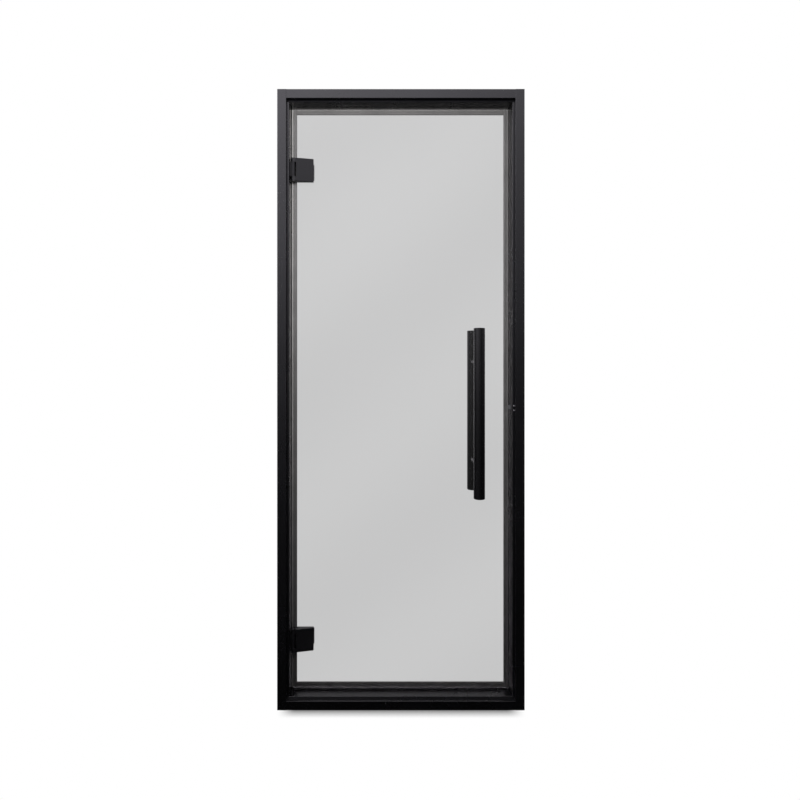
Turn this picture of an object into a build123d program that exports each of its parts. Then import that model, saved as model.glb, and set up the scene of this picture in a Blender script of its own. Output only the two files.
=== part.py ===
from build123d import *
import os

os.makedirs("parts", exist_ok=True)

# Framed glass door, left hung, opening towards the viewer.
# X runs to the right seen from outside, Y inwards and Z up. The origin is the middle of the foot of
# the frame, in the middle plane of the pane. Insets run from a rail's outer face into the doorway,
# and setbacks run back from the front of the frame.

# Frame
frame_width = 795.0
frame_height = 1995.0
frame_depth = 90.0
frame_wall = 2.0
frame_rounding = 1.0
lip_width = 29.0
lip_depth = 13.0
riser_width = 7.0
stop_projection = 10.0
stop_thickness = 6.0
back_width = 32.0

# Pane
pane_thickness = 8.0
pane_setback = 51.0
pane_gap = 4.0
hinge_side_gap = 6.5
pane_arris = 0.8

# Screw ports along the section, and the screws that join the corners
port_inset = 14.0
port_offset = 4.6
lip_port_setback = 8.0
port_radius = 2.4
port_wall = 1.6
corner_screw_grip = 24.0
corner_screw_head_radius = 4.5
corner_screw_head_height = 3.0
corner_access_radius = 5.5

# Bulb seals
seal_width = 16.2
seal_margin = 1.5
seal_height = 5.5
seal_bulb = 8.0
seal_tail = 2.2
seal_wall = 1.6
seal_rounding = 2.6
seal_neck_width = 3.0
seal_foot_width = 6.0
seal_foot_height = 3.0
groove_lip = 2.5
groove_wall = 1.5

# Fixing holes through the jambs
fixing_radius = 3.25
fixing_access_radius = 6.0
fixing_end_height = 110.0
fixing_mid_low = 700.0
fixing_mid_high = 1295.0

# Hinges
hinge_from_top = 246.0
hinge_from_foot = 207.0
hinge_height = 74.0
pivot_standoff = 10.0
pivot_ahead = 15.0
pin_radius = 4.0
pin_recess = 1.0
bush_radius = 6.0
bush_length = 10.0
bush_flange_radius = 7.4
bush_flange_thickness = 0.8
knuckle_radius = 8.0
knuckle_height = 45.0
knuckle_base_width = 13.0
ear_radius = 8.5
clamp_flat = 6.0
notch_reach = 10.5
clamp_reach = 65.0
clamp_tip_thickness = 9.5
clamp_rounding = 1.5
gasket_thickness = 1.5
gasket_margin = 1.0
rear_plate_start = 16.0
rear_plate_thickness = 8.0
rear_plate_height = 50.0
clamp_screw_reach = 38.0
clamp_screw_spacing = 30.0
clamp_screw_radius = 3.0
clamp_screw_head_radius = 6.0
clamp_screw_head_height = 3.2
clamp_screw_bite = 8.0
pane_sleeve_radius = 6.0
mount_screw_spacing = 10.0
mount_screw_radius = 2.5
mount_screw_head_radius = 4.0
mount_screw_head_height = 4.0
backing_thickness = 5.0
backing_height = 44.0
backing_width = 20.0

# Pull handle
handle_inset = 107.5
handle_height = 954.0
bar_radius = 18.0
bar_wall = 2.0
bar_length = 545.0
bar_reach = 64.0
cap_thickness = 4.0
cap_plug_length = 10.0
cap_chamfer = 1.2
post_spacing = 330.0
post_radius = 10.0
spigot_radius = 6.0
spigot_tail = 3.0
stud_radius = 4.0
stud_length = 50.0
stud_sleeve_radius = 7.0
washer_thickness = 1.0

# Roller catch
catch_height = 969.0
roller_radius = 7.0
roller_height = 12.0
roller_bite = 1.2
roller_ahead = 4.2
roller_chamfer = 0.6
roller_pin_radius = 2.0
plunger_cheek = 3.0
plunger_cheek_radius = 4.5
plunger_length = 10.0
plunger_half_width = 8.4
plunger_travel = 4.0
roller_room = 1.2
housing_height = 42.0
housing_wall = 4.0
housing_side_wall = 0.8
spring_radius = 3.6
spring_wire = 0.6
spring_turns = 4
spring_pocket = 3.0
spring_play = 0.1
catch_screw_spacing = 14.5
catch_screw_radius = 1.4
catch_screw_head_radius = 2.4
catch_screw_head_height = 1.6
catch_screw_length = 14.0

# Clearances
seat_gap = 0.02
running_gap = 0.05
slip_gap = 0.15
slide_gap = 0.2
seal_gap = 0.5
drill_gap = 0.1
overrun = 5.0

# Worked out from the sizes above
half_width = frame_width / 2
reveal_width = lip_width + riser_width
stop_width = reveal_width + stop_projection
pane_back = pane_setback + pane_thickness
stop_setback = pane_back + seal_gap + seal_height
seal_inset = reveal_width + stop_projection / 2
seal_edge = reveal_width + seal_margin + seal_width
web_port_setback = stop_setback - port_offset
front_y = -(pane_setback + pane_thickness / 2)
pane_left = -half_width + reveal_width + hinge_side_gap
pane_right = half_width - reveal_width - pane_gap
pane_bottom = reveal_width + pane_gap
pane_top = frame_height - reveal_width - pane_gap
pivot_inset = reveal_width + pivot_standoff
pivot_setback = pane_setback - pivot_ahead
hinge_heights = {"upper": frame_height - hinge_from_top, "lower": hinge_from_foot}
clamp_screw_x = -half_width + pivot_inset + clamp_screw_reach
handle_x = pane_right - handle_inset
post_heights = [handle_height - post_spacing / 2, handle_height + post_spacing / 2]
roller_inset = reveal_width + pane_gap + roller_bite - roller_radius
roller_setback = pane_setback - roller_ahead

# A rail's plane has its own X into the doorway, its own Y inwards and its Z along the rail
rails = {
    "left_jamb": (Plane((-half_width, front_y, 0), x_dir=(1, 0, 0), z_dir=(0, 0, 1)), frame_height),
    "right_jamb": (
        Plane((half_width, front_y, frame_height), x_dir=(-1, 0, 0), z_dir=(0, 0, -1)),
        frame_height,
    ),
    "head_rail": (
        Plane((-half_width, front_y, frame_height), x_dir=(0, 0, -1), z_dir=(1, 0, 0)),
        frame_width,
    ),
    "sill_rail": (Plane((half_width, front_y, 0), x_dir=(0, 0, 1), z_dir=(-1, 0, 0)), frame_width),
}


def save(piece, name):
    """Labels a finished piece and writes it as a node of its own."""
    piece.part.label = name
    export_step(piece.part, f"parts/{name}.step")


def jamb_side(side, height, setback):
    """Plane on a jamb's outer face that looks into the doorway; side is -1 for left, 1 for right."""
    return Plane((side * half_width, front_y + setback, height), x_dir=(0, 1, 0), z_dir=(-side, 0, 0))


def plan(height):
    """Level plane at a height, in insets from the left jamb's outer face and setbacks."""
    return Plane((-half_width, front_y, height), x_dir=(1, 0, 0), z_dir=(0, 0, 1))


def catch_plan(height):
    """Level plane at a height, in insets from the right jamb's outer face and setbacks."""
    return Plane((half_width, front_y, height), x_dir=(-1, 0, 0), z_dir=(0, 0, -1))


def across_pane(x, height, setback):
    """Upright plane that looks inwards through the pane, at a setback."""
    return Plane((x, front_y + setback, height), x_dir=(1, 0, 0), z_dir=(0, 1, 0))


# Frame rails: one hollow stepped section with two chambers, two screw ports, a seal groove and a stop
# that is splayed behind, so that it stays out of sight behind its seal.
# The jambs run full height; the head and the sill are coped to fit between them.
port_half = port_radius + port_wall
web_back = stop_setback + frame_wall
chamber_back = frame_depth - frame_wall
splay_setback = stop_setback + stop_thickness
splay_slope = (stop_width - back_width) / (frame_depth - splay_setback)
splay_wall = frame_wall * (1 + splay_slope**2) ** 0.5
groove_neck = seal_neck_width + 2 * slip_gap
groove_foot = seal_foot_width + 2 * slip_gap
groove_foot_depth = seal_foot_height + 2 * slip_gap
groove_block = groove_foot / 2 + groove_wall
groove_block_back = stop_setback + groove_lip + groove_foot_depth + groove_wall
fixing_setback = (groove_block_back + chamber_back) / 2
fixing_heights = [
    fixing_end_height,
    fixing_mid_low,
    fixing_mid_high,
    frame_height - fixing_end_height,
]
corner_heights = [port_inset, frame_height - port_inset]
corner_bearings = [(web_port_setback, reveal_width), (lip_port_setback, lip_width)]
catch_slot_height = roller_height + 2 * (slide_gap + plunger_cheek + slide_gap)
catch_slot_width = 2 * (roller_radius + slide_gap)
catch_screw_inset = lip_width + catch_screw_head_radius + drill_gap
catch_screw_heights = [
    catch_height - catch_screw_spacing / 2,
    catch_height + catch_screw_spacing / 2,
]
section_corners = [
    (0, 0),
    (lip_width, 0),
    (lip_width, lip_depth),
    (reveal_width, lip_depth),
    (reveal_width, stop_setback),
    (stop_width, stop_setback),
    (stop_width, splay_setback),
    (back_width, frame_depth),
    (0, frame_depth),
]


def inside_splay(setback):
    """Inset of the inner side of the splayed wall, at a setback."""
    return stop_width - splay_slope * (setback - splay_setback) - splay_wall


with BuildPart() as jamb_envelopes:
    for jamb in ("left_jamb", "right_jamb"):
        jamb_plane, jamb_length = rails[jamb]
        with BuildSketch(jamb_plane):
            Polygon(*section_corners, align=None)
        extrude(amount=jamb_length)

for name, (rail_plane, length) in rails.items():
    with BuildPart() as rail:
        with BuildSketch(rail_plane) as section:
            Polygon(*section_corners, align=None)
            rows = section.vertices().group_by(Axis.Y)
            steps = [row.sort_by(Axis.X)[-1] for row in rows[1:-1]]
            fillet(rows[0] + rows[-1] + steps, frame_rounding)
            Polygon(
                (frame_wall, frame_wall),
                (port_inset - port_half, frame_wall),
                (port_inset - port_half, lip_port_setback + port_half),
                (port_inset + port_half, lip_port_setback + port_half),
                (port_inset + port_half, frame_wall),
                (lip_width - frame_wall, frame_wall),
                (lip_width - frame_wall, lip_depth + frame_wall),
                (reveal_width - frame_wall, lip_depth + frame_wall),
                (reveal_width - frame_wall, stop_setback),
                (port_inset + port_half, stop_setback),
                (port_inset + port_half, web_port_setback - port_half),
                (port_inset - port_half, web_port_setback - port_half),
                (port_inset - port_half, stop_setback),
                (frame_wall, stop_setback),
                align=None,
                mode=Mode.SUBTRACT,
            )
            Polygon(
                (frame_wall, web_back),
                (seal_inset - groove_block, web_back),
                (seal_inset - groove_block, groove_block_back),
                (inside_splay(groove_block_back), groove_block_back),
                (inside_splay(chamber_back), chamber_back),
                (frame_wall, chamber_back),
                align=None,
                mode=Mode.SUBTRACT,
            )
            with Locations((port_inset, web_port_setback), (port_inset, lip_port_setback)):
                Circle(port_radius, mode=Mode.SUBTRACT)
            with Locations((seal_inset, stop_setback)):
                Rectangle(groove_neck, 2 * (groove_lip + slip_gap), mode=Mode.SUBTRACT)
            with Locations((seal_inset, stop_setback + groove_lip)):
                Rectangle(
                    groove_foot,
                    groove_foot_depth,
                    align=(Align.CENTER, Align.MIN),
                    mode=Mode.SUBTRACT,
                )
        extrude(amount=length)

        # Coped ends of the head and the sill
        if name.endswith("rail"):
            add(jamb_envelopes.part, mode=Mode.SUBTRACT)

        # Fixing holes and corner screw holes of the jambs, with access holes for the driver
        if name.endswith("jamb"):
            side = -1 if name == "left_jamb" else 1
            for height in fixing_heights:
                hole_plane = jamb_side(side, height, fixing_setback)
                with BuildSketch(hole_plane):
                    Circle(fixing_radius)
                extrude(amount=frame_wall, mode=Mode.SUBTRACT)
                with BuildSketch(hole_plane.offset(frame_wall)):
                    Circle(fixing_access_radius)
                extrude(amount=stop_width - frame_wall, mode=Mode.SUBTRACT)
            for height in corner_heights:
                for setback, bearing in corner_bearings:
                    hole_plane = jamb_side(side, height, setback)
                    with BuildSketch(hole_plane):
                        Circle(corner_access_radius)
                    extrude(amount=bearing - frame_wall, mode=Mode.SUBTRACT)
                    with BuildSketch(hole_plane):
                        Circle(port_radius + drill_gap)
                    extrude(amount=bearing, mode=Mode.SUBTRACT)

        # Screw holes for the knuckles in the reveal wall of the left jamb
        if name == "left_jamb":
            for hinge_z in hinge_heights.values():
                for shift in (-mount_screw_spacing / 2, mount_screw_spacing / 2):
                    wall_plane = jamb_side(-1, hinge_z + shift, pivot_setback)
                    with BuildSketch(wall_plane.offset(reveal_width - 2 * frame_wall)):
                        Circle(mount_screw_radius + drill_gap)
                    extrude(amount=2 * frame_wall, mode=Mode.SUBTRACT)

        # Slot for the roller and two screw holes in the riser of the right jamb
        if name == "right_jamb":
            wall_plane = jamb_side(1, catch_height, roller_setback)
            with BuildSketch(wall_plane.offset(reveal_width - 2 * frame_wall)):
                Rectangle(catch_slot_width, catch_slot_height)
            extrude(amount=2 * frame_wall, mode=Mode.SUBTRACT)
            for height in catch_screw_heights:
                with BuildSketch(across_pane(half_width - catch_screw_inset, height, lip_depth)):
                    Circle(catch_screw_radius + drill_gap)
                extrude(amount=frame_wall, mode=Mode.SUBTRACT)
    save(rail, name)

# Corner screws: from inside the jambs into the ports of the head and the sill
with BuildPart() as corner_screws:
    for side in (-1, 1):
        for height in corner_heights:
            for setback, bearing in corner_bearings:
                head_plane = jamb_side(side, height, setback).offset(bearing - frame_wall)
                with BuildSketch(head_plane):
                    Circle(port_radius - seat_gap)
                extrude(amount=frame_wall + corner_screw_grip)
                with BuildSketch(head_plane):
                    Circle(corner_screw_head_radius)
                    RegularPolygon(port_radius, 6, mode=Mode.SUBTRACT)
                extrude(amount=-corner_screw_head_height)
                with BuildSketch(head_plane):
                    Circle(port_radius - seat_gap)
                extrude(amount=-corner_screw_head_height / 2)
save(corner_screws, "corner_screws")

# Bulb seals in the grooves of the stops: a thin tail towards the rail and a hollow bulb inside.
# The upright seals run from reveal to reveal, and the level ones between the upright ones.
seals = {
    "seal_left": ("left_jamb", reveal_width + slip_gap),
    "seal_right": ("right_jamb", reveal_width + slip_gap),
    "seal_head": ("head_rail", seal_edge + slip_gap),
    "seal_sill": ("sill_rail", seal_edge + slip_gap),
}

for name, (rail_name, seal_start) in seals.items():
    rail_plane, length = rails[rail_name]
    with BuildPart() as seal:
        with BuildSketch(rail_plane.offset(seal_start)) as section:
            with Locations((seal_edge, stop_setback)):
                Rectangle(seal_width, seal_tail, align=(Align.MAX, Align.MAX))
                Rectangle(seal_bulb, seal_height, align=(Align.MAX, Align.MAX))
            fillet(section.vertices().group_by(Axis.Y)[0], seal_rounding)
            with Locations((seal_edge - seal_bulb / 2, stop_setback - seal_height / 2)):
                Rectangle(seal_bulb - 2 * seal_wall, seal_height - 2 * seal_wall, mode=Mode.SUBTRACT)
            with Locations((seal_inset, stop_setback)):
                Rectangle(
                    seal_neck_width,
                    groove_lip + slip_gap + seal_foot_height / 2,
                    align=(Align.CENTER, Align.MIN),
                )
            with Locations((seal_inset, stop_setback + groove_lip + slip_gap)):
                Rectangle(seal_foot_width, seal_foot_height, align=(Align.CENTER, Align.MIN))
        extrude(amount=length - 2 * seal_start)
    save(seal, name)

# Glass pane with ground edges, drilled for the hinges and the handle
clamp_screw_places = [
    (clamp_screw_x, hinge_z + shift)
    for hinge_z in hinge_heights.values()
    for shift in (-clamp_screw_spacing / 2, clamp_screw_spacing / 2)
]
stud_places = [(handle_x, height) for height in post_heights]

with BuildPart() as pane:
    with BuildSketch(across_pane(0, 0, pane_setback)):
        with Locations(((pane_left + pane_right) / 2, -(pane_bottom + pane_top) / 2)):
            Rectangle(pane_right - pane_left, pane_top - pane_bottom)
    extrude(amount=pane_thickness)
    chamfer(pane.edges().filter_by(Axis.Y, reverse=True), pane_arris)
    for x, height in clamp_screw_places:
        with BuildSketch(across_pane(x, height, pane_setback)):
            Circle(pane_sleeve_radius)
        extrude(amount=pane_thickness, mode=Mode.SUBTRACT)
    for x, height in stud_places:
        with BuildSketch(across_pane(x, height, pane_setback)):
            Circle(stud_sleeve_radius)
        extrude(amount=pane_thickness, mode=Mode.SUBTRACT)
save(pane, "glass_pane")

# Hinges: a knuckle on the jamb sits between the two ears of the front clamp
notch_half = knuckle_height / 2 + bush_flange_thickness + slide_gap
pin_inner_end = knuckle_height / 2 - bush_length
clamp_back = pane_setback - gasket_thickness
rear_front = pane_back + gasket_thickness
clamp_end = pivot_inset + clamp_reach
notch_wall = pivot_inset + notch_reach
screw_tip = clamp_back - clamp_screw_bite

for name, hinge_z in hinge_heights.items():
    with BuildPart() as knuckle:
        with BuildSketch(plan(hinge_z)):
            with Locations((pivot_inset, pivot_setback)):
                Circle(knuckle_radius)
                Rectangle(pivot_standoff, knuckle_base_width, align=(Align.MAX, Align.CENTER))
        extrude(amount=knuckle_height / 2, both=True)
        for end in (-1, 1):
            with BuildSketch(plan(hinge_z + end * pin_inner_end)):
                with Locations((pivot_inset, pivot_setback)):
                    Circle(bush_radius + seat_gap)
            extrude(amount=end * bush_length, mode=Mode.SUBTRACT)
        for shift in (-mount_screw_spacing / 2, mount_screw_spacing / 2):
            screw_axis = jamb_side(-1, hinge_z + shift, pivot_setback)
            with BuildSketch(screw_axis.offset(reveal_width)):
                Circle(mount_screw_radius + drill_gap)
            extrude(amount=pivot_standoff, mode=Mode.SUBTRACT)
            with BuildSketch(screw_axis.offset(pivot_inset)):
                Circle(mount_screw_head_radius + drill_gap)
            extrude(amount=knuckle_radius, mode=Mode.SUBTRACT)
    save(knuckle, f"{name}_hinge_knuckle")

    with BuildPart() as clamp:
        with BuildSketch(plan(hinge_z)):
            with Locations((pivot_inset, pivot_setback)):
                Circle(ear_radius)
            Polygon(
                (pivot_inset, pivot_setback - ear_radius),
                (pivot_inset + clamp_flat, pivot_setback - ear_radius),
                (clamp_end, clamp_back - clamp_tip_thickness),
                (clamp_end, clamp_back),
                (notch_wall, clamp_back),
                (notch_wall, pivot_setback + ear_radius),
                (pivot_inset, pivot_setback + ear_radius),
                align=None,
            )
        extrude(amount=hinge_height / 2, both=True)
        fillet(clamp.edges().filter_by(Axis.Z).group_by(Axis.X)[-1], clamp_rounding)
        with BuildSketch(plan(hinge_z)):
            with Locations((notch_wall, pivot_setback)):
                Rectangle(
                    pivot_standoff + notch_reach,
                    2 * (ear_radius + overrun),
                    align=(Align.MAX, Align.CENTER),
                )
        extrude(amount=notch_half, both=True, mode=Mode.SUBTRACT)
        with BuildSketch(plan(hinge_z)):
            with Locations((pivot_inset, pivot_setback)):
                Circle(pin_radius + seat_gap)
        extrude(amount=hinge_height / 2, both=True, mode=Mode.SUBTRACT)
        for shift in (-clamp_screw_spacing / 2, clamp_screw_spacing / 2):
            with BuildSketch(across_pane(clamp_screw_x, hinge_z + shift, clamp_back)):
                Circle(clamp_screw_radius + seat_gap)
            extrude(amount=-clamp_screw_bite - slide_gap, mode=Mode.SUBTRACT)
    save(clamp, f"{name}_hinge_front_clamp")

    with BuildPart() as rear_plate:
        with BuildSketch(plan(hinge_z)):
            with Locations((pivot_inset + rear_plate_start, rear_front)):
                Rectangle(
                    clamp_reach - rear_plate_start, rear_plate_thickness, align=(Align.MIN, Align.MIN)
                )
        extrude(amount=rear_plate_height / 2, both=True)
        fillet(rear_plate.edges().filter_by(Axis.Z).group_by(Axis.Y)[-1], clamp_rounding)
        for shift in (-clamp_screw_spacing / 2, clamp_screw_spacing / 2):
            plate_back = across_pane(clamp_screw_x, hinge_z + shift, rear_front + rear_plate_thickness)
            with Locations(plate_back):
                CounterSinkHole(
                    clamp_screw_radius + drill_gap,
                    clamp_screw_head_radius + drill_gap,
                    rear_plate_thickness,
                )
    save(rear_plate, f"{name}_hinge_rear_plate")

    with BuildPart() as pins:
        for end in (-1, 1):
            with BuildSketch(plan(hinge_z + end * (pin_inner_end + slide_gap))):
                with Locations((pivot_inset, pivot_setback)):
                    Circle(pin_radius)
            extrude(amount=end * (hinge_height / 2 - pin_recess - pin_inner_end - slide_gap))
    save(pins, f"{name}_hinge_pins")

# Small pieces of both hinges, grouped by kind
with BuildPart() as bushes:
    for hinge_z in hinge_heights.values():
        for end in (-1, 1):
            with BuildSketch(plan(hinge_z + end * pin_inner_end)):
                with Locations((pivot_inset, pivot_setback)):
                    Circle(bush_radius)
                    Circle(pin_radius + running_gap, mode=Mode.SUBTRACT)
            extrude(amount=end * bush_length)
            with BuildSketch(plan(hinge_z + end * knuckle_height / 2)):
                with Locations((pivot_inset, pivot_setback)):
                    Circle(bush_flange_radius)
                    Circle(pin_radius + running_gap, mode=Mode.SUBTRACT)
            extrude(amount=end * bush_flange_thickness)
save(bushes, "hinge_bushes")

gasket_faces = [
    (notch_wall + gasket_margin, clamp_back, hinge_height),
    (pivot_inset + rear_plate_start + gasket_margin, pane_back, rear_plate_height),
]
with BuildPart() as gaskets:
    for hinge_z in hinge_heights.values():
        for gasket_start, gasket_setback, plate_height in gasket_faces:
            with BuildSketch(plan(hinge_z)):
                with Locations((gasket_start, gasket_setback)):
                    Rectangle(
                        clamp_end - gasket_margin - gasket_start,
                        gasket_thickness,
                        align=(Align.MIN, Align.MIN),
                    )
            extrude(amount=plate_height / 2 - gasket_margin, both=True)
    for x, height in clamp_screw_places:
        with BuildSketch(across_pane(x, height, clamp_back)):
            Circle(pane_sleeve_radius)
        extrude(amount=rear_front - clamp_back, mode=Mode.SUBTRACT)
save(gaskets, "hinge_gaskets")

with BuildPart() as sleeves:
    for x, height in clamp_screw_places:
        with BuildSketch(across_pane(x, height, clamp_back)):
            Circle(pane_sleeve_radius - seat_gap)
            Circle(clamp_screw_radius + drill_gap, mode=Mode.SUBTRACT)
        extrude(amount=rear_front - clamp_back)
save(sleeves, "hinge_sleeves")

with BuildPart() as clamp_screws:
    for x, height in clamp_screw_places:
        with BuildSketch(across_pane(x, height, screw_tip)):
            Circle(clamp_screw_radius)
        extrude(amount=rear_front + rear_plate_thickness - screw_tip)
        with BuildSketch(across_pane(x, height, rear_front + rear_plate_thickness)):
            Circle(clamp_screw_head_radius)
        with BuildSketch(
            across_pane(x, height, rear_front + rear_plate_thickness - clamp_screw_head_height)
        ):
            Circle(clamp_screw_radius)
        loft()
        with BuildSketch(across_pane(x, height, rear_front + rear_plate_thickness)):
            RegularPolygon(clamp_screw_radius, 6)
        extrude(amount=-clamp_screw_head_height / 2, mode=Mode.SUBTRACT)
save(clamp_screws, "hinge_clamp_screws")

backing_inset = reveal_width - frame_wall - backing_thickness
with BuildPart() as mount_screws:
    for hinge_z in hinge_heights.values():
        for shift in (-mount_screw_spacing / 2, mount_screw_spacing / 2):
            screw_axis = jamb_side(-1, hinge_z + shift, pivot_setback)
            with BuildSketch(screw_axis.offset(backing_inset)):
                Circle(mount_screw_radius)
            extrude(amount=pivot_inset - backing_inset)
            with BuildSketch(screw_axis.offset(pivot_inset)):
                Circle(mount_screw_head_radius)
                RegularPolygon(mount_screw_radius, 6, mode=Mode.SUBTRACT)
            extrude(amount=mount_screw_head_height)
            with BuildSketch(screw_axis.offset(pivot_inset)):
                Circle(mount_screw_radius)
            extrude(amount=mount_screw_head_height / 2)
save(mount_screws, "hinge_mount_screws")

with BuildPart() as backing_plates:
    for hinge_z in hinge_heights.values():
        with BuildSketch(jamb_side(-1, hinge_z, pivot_setback).offset(backing_inset)):
            Rectangle(backing_width, backing_height)
            with Locations((0, -mount_screw_spacing / 2), (0, mount_screw_spacing / 2)):
                Circle(mount_screw_radius + seat_gap, mode=Mode.SUBTRACT)
        extrude(amount=backing_thickness)
save(backing_plates, "hinge_backing_plates")

# Pull handle: a tube with plugged ends on two posts, on each side of the pane
half_pane = pane_thickness / 2
tube_length = bar_length - 2 * cap_thickness
post_start = half_pane + washer_thickness
bar_face = bar_reach - bar_radius

for name, side in (("outer", -1), ("inner", 1)):
    bar_axis = Plane((handle_x, side * bar_reach, handle_height))

    with BuildPart() as bar:
        with BuildSketch(bar_axis):
            Circle(bar_radius)
            Circle(bar_radius - bar_wall, mode=Mode.SUBTRACT)
        extrude(amount=tube_length / 2, both=True)
        for height in post_heights:
            with BuildSketch(Plane((handle_x, side * bar_reach, height), z_dir=(0, -side, 0))):
                Circle(spigot_radius + seat_gap)
            extrude(amount=bar_radius, mode=Mode.SUBTRACT)
    save(bar, f"{name}_handle_bar")

    with BuildPart() as caps:
        for end in (-1, 1):
            with BuildSketch(bar_axis.offset(end * tube_length / 2)):
                Circle(bar_radius)
            extrude(amount=end * cap_thickness)
            with BuildSketch(bar_axis.offset(end * tube_length / 2)):
                Circle(bar_radius - bar_wall - seat_gap)
            extrude(amount=-end * cap_plug_length)
        rims = caps.edges().filter_by(GeomType.CIRCLE).group_by(Axis.Z)
        chamfer(rims[0] + rims[-1], cap_chamfer)
    save(caps, f"{name}_handle_caps")

    with BuildPart() as posts:
        for height in post_heights:
            with BuildSketch(Plane((handle_x, side * post_start, height), z_dir=(0, side, 0))):
                Circle(post_radius)
            extrude(amount=bar_reach - post_start)
        with BuildSketch(bar_axis):
            Circle(bar_radius + seat_gap)
        extrude(amount=bar_length / 2, both=True, mode=Mode.SUBTRACT)
        for height in post_heights:
            post_foot = Plane((handle_x, side * post_start, height), z_dir=(0, side, 0))
            with BuildSketch(post_foot):
                Circle(spigot_radius)
            extrude(amount=bar_face + bar_wall + spigot_tail - post_start)
            with BuildSketch(post_foot):
                Circle(stud_radius + seat_gap)
            extrude(amount=stud_length / 2 + slide_gap - post_start, mode=Mode.SUBTRACT)
    save(posts, f"{name}_handle_posts")

with BuildPart() as studs:
    for x, height in stud_places:
        with BuildSketch(across_pane(x, height, pane_setback + half_pane)):
            Circle(stud_radius)
        extrude(amount=stud_length / 2, both=True)
save(studs, "handle_studs")

with BuildPart() as stud_sleeves:
    for x, height in stud_places:
        with BuildSketch(across_pane(x, height, pane_setback)):
            Circle(stud_sleeve_radius - seat_gap)
            Circle(stud_radius + drill_gap, mode=Mode.SUBTRACT)
        extrude(amount=pane_thickness)
save(stud_sleeves, "handle_sleeves")

with BuildPart() as washers:
    for x, height in stud_places:
        for washer_setback in (pane_setback - washer_thickness, pane_back):
            with BuildSketch(across_pane(x, height, washer_setback)):
                Circle(post_radius)
                Circle(stud_radius + drill_gap, mode=Mode.SUBTRACT)
            extrude(amount=washer_thickness)
save(washers, "handle_washers")

# Roller catch in the right jamb: the roller bears on the pane's front arris
fork_half = roller_height / 2 + slide_gap + plunger_cheek
plunger_front = roller_inset - roller_radius - roller_room
plunger_back = plunger_front - plunger_length
cavity_back = plunger_back - 2 * plunger_travel
housing_back = cavity_back - housing_wall
housing_front = lip_depth + frame_wall + slip_gap
housing_face = reveal_width - frame_wall - slip_gap
cavity_half = plunger_half_width + slide_gap
mouth_half = roller_radius + 2 * slide_gap
mouth_back = plunger_front + slide_gap

with BuildPart() as housing:
    with BuildSketch(catch_plan(catch_height)):
        with Locations((housing_back, housing_front)):
            Rectangle(
                housing_face - housing_back,
                roller_setback + cavity_half + housing_side_wall - housing_front,
                align=(Align.MIN, Align.MIN),
            )
    extrude(amount=housing_height / 2, both=True)
    with BuildSketch(catch_plan(catch_height)):
        with Locations((cavity_back, roller_setback)):
            Rectangle(mouth_back - cavity_back, 2 * cavity_half, align=(Align.MIN, Align.CENTER))
        with Locations((mouth_back, roller_setback)):
            Rectangle(
                housing_face + overrun - mouth_back, 2 * mouth_half, align=(Align.MIN, Align.CENTER)
            )
    extrude(amount=fork_half + slide_gap, both=True, mode=Mode.SUBTRACT)
    for height in catch_screw_heights:
        with BuildSketch(across_pane(half_width - catch_screw_inset, height, housing_front)):
            Circle(catch_screw_radius + seat_gap)
        extrude(amount=lip_depth + catch_screw_length - housing_front + slide_gap, mode=Mode.SUBTRACT)
save(housing, "catch_housing")

with BuildPart() as plunger:
    with BuildSketch(catch_plan(catch_height)):
        with Locations((plunger_back, roller_setback)):
            Rectangle(plunger_length, 2 * plunger_half_width, align=(Align.MIN, Align.CENTER))
            Rectangle(
                roller_inset - plunger_back, 2 * plunger_cheek_radius, align=(Align.MIN, Align.CENTER)
            )
        with Locations((roller_inset, roller_setback)):
            Circle(plunger_cheek_radius)
    extrude(amount=fork_half, both=True)
    with BuildSketch(catch_plan(catch_height)):
        with Locations((plunger_front, roller_setback)):
            Rectangle(
                2 * roller_radius + overrun, 2 * plunger_half_width, align=(Align.MIN, Align.CENTER)
            )
    extrude(amount=roller_height / 2 + slide_gap, both=True, mode=Mode.SUBTRACT)
    with BuildSketch(catch_plan(catch_height)):
        with Locations((roller_inset, roller_setback)):
            Circle(roller_pin_radius + seat_gap)
    extrude(amount=fork_half, both=True, mode=Mode.SUBTRACT)
    with BuildSketch(jamb_side(1, catch_height, roller_setback).offset(plunger_back)):
        Circle(spring_radius + spring_wire + slide_gap)
    extrude(amount=spring_pocket, mode=Mode.SUBTRACT)
save(plunger, "catch_plunger")

with BuildPart() as roller:
    with BuildSketch(catch_plan(catch_height)):
        with Locations((roller_inset, roller_setback)):
            Circle(roller_radius)
            Circle(roller_pin_radius + running_gap, mode=Mode.SUBTRACT)
    extrude(amount=roller_height / 2, both=True)
    outer_rims = roller.edges().filter_by(GeomType.CIRCLE).group_by(SortBy.RADIUS)[-1]
    chamfer(outer_rims, roller_chamfer)
save(roller, "catch_roller")

with BuildPart() as roller_pin:
    with BuildSketch(catch_plan(catch_height)):
        with Locations((roller_inset, roller_setback)):
            Circle(roller_pin_radius)
    extrude(amount=fork_half, both=True)
save(roller_pin, "catch_roller_pin")

spring_start = jamb_side(1, catch_height, roller_setback).offset(cavity_back + spring_wire + spring_play)
spring_length = plunger_back + spring_pocket - cavity_back - 2 * (spring_wire + spring_play)
with BuildPart() as spring:
    with BuildLine() as coil:
        Helix(
            pitch=spring_length / spring_turns,
            height=spring_length,
            radius=spring_radius,
            center=spring_start.origin,
            direction=spring_start.z_dir,
        )
    with BuildSketch(Plane(coil.line @ 0, z_dir=coil.line % 0)):
        RegularPolygon(spring_wire, 6)
    sweep(path=coil.line, is_frenet=True)
save(spring, "catch_spring")

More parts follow.
